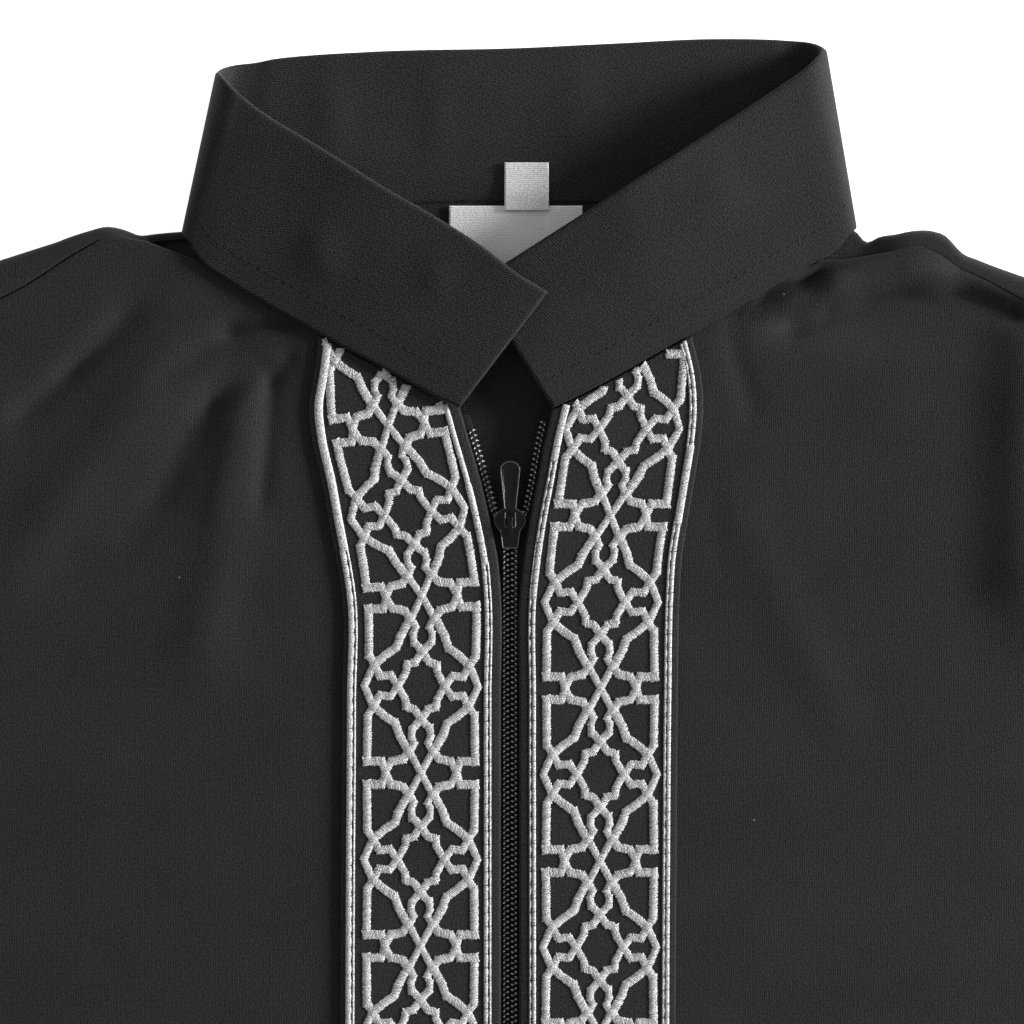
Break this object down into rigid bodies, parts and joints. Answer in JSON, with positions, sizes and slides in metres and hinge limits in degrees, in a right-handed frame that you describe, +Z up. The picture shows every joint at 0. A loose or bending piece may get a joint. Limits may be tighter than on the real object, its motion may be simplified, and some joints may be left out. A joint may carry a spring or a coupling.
{
  "type": "jilbab",
  "caption": "Long black front-zip robe with a stand collar and two silver lattice-embroidered bands, laid out flat on its back.",
  "frame": {"origin": "centre of the laid-out garment's outline, on the surface it lies on", "axes": "+Y from the hem to the collar, +Z up off the surface, +X to the right as seen from above"},
  "size_m": [1.4246, 1.4802, 0.0178],
  "materials": {
    "cloth": "matt black plain weave",
    "collar": "matt black weave with a fine diagonal rib",
    "band": "black cloth under silver grey satin stitch and braid",
    "zip": "black woven tape and nylon coil",
    "slider": "gloss black lacquer",
    "label": "grey satin weave",
    "size_tape": "pale grey ribbed tape",
    "embroidery": "silver grey satin-stitch thread",
    "thread": "black sewing thread"
  },
  "bodies": {
    "garment": {"back": "cloth", "front_left": "cloth", "front_right": "cloth", "sleeve_left": "cloth", "sleeve_right": "cloth", "collar": "collar", "band_left": "band", "band_right": "band", "zip_left": "zip", "zip_right": "zip", "zip_slider": "slider", "neck_label": "label", "size_tape": "size_tape"},
    "pull": {"zip_pull": "slider"}
  },
  "joints": [
    {"name": "pull_flip", "type": "hinge", "parent": "garment", "child": "pull", "pos_m": [0, 0.59295, 0.0069], "axis": [1, 0, 0], "range_deg": [0, 170]}
  ]
}
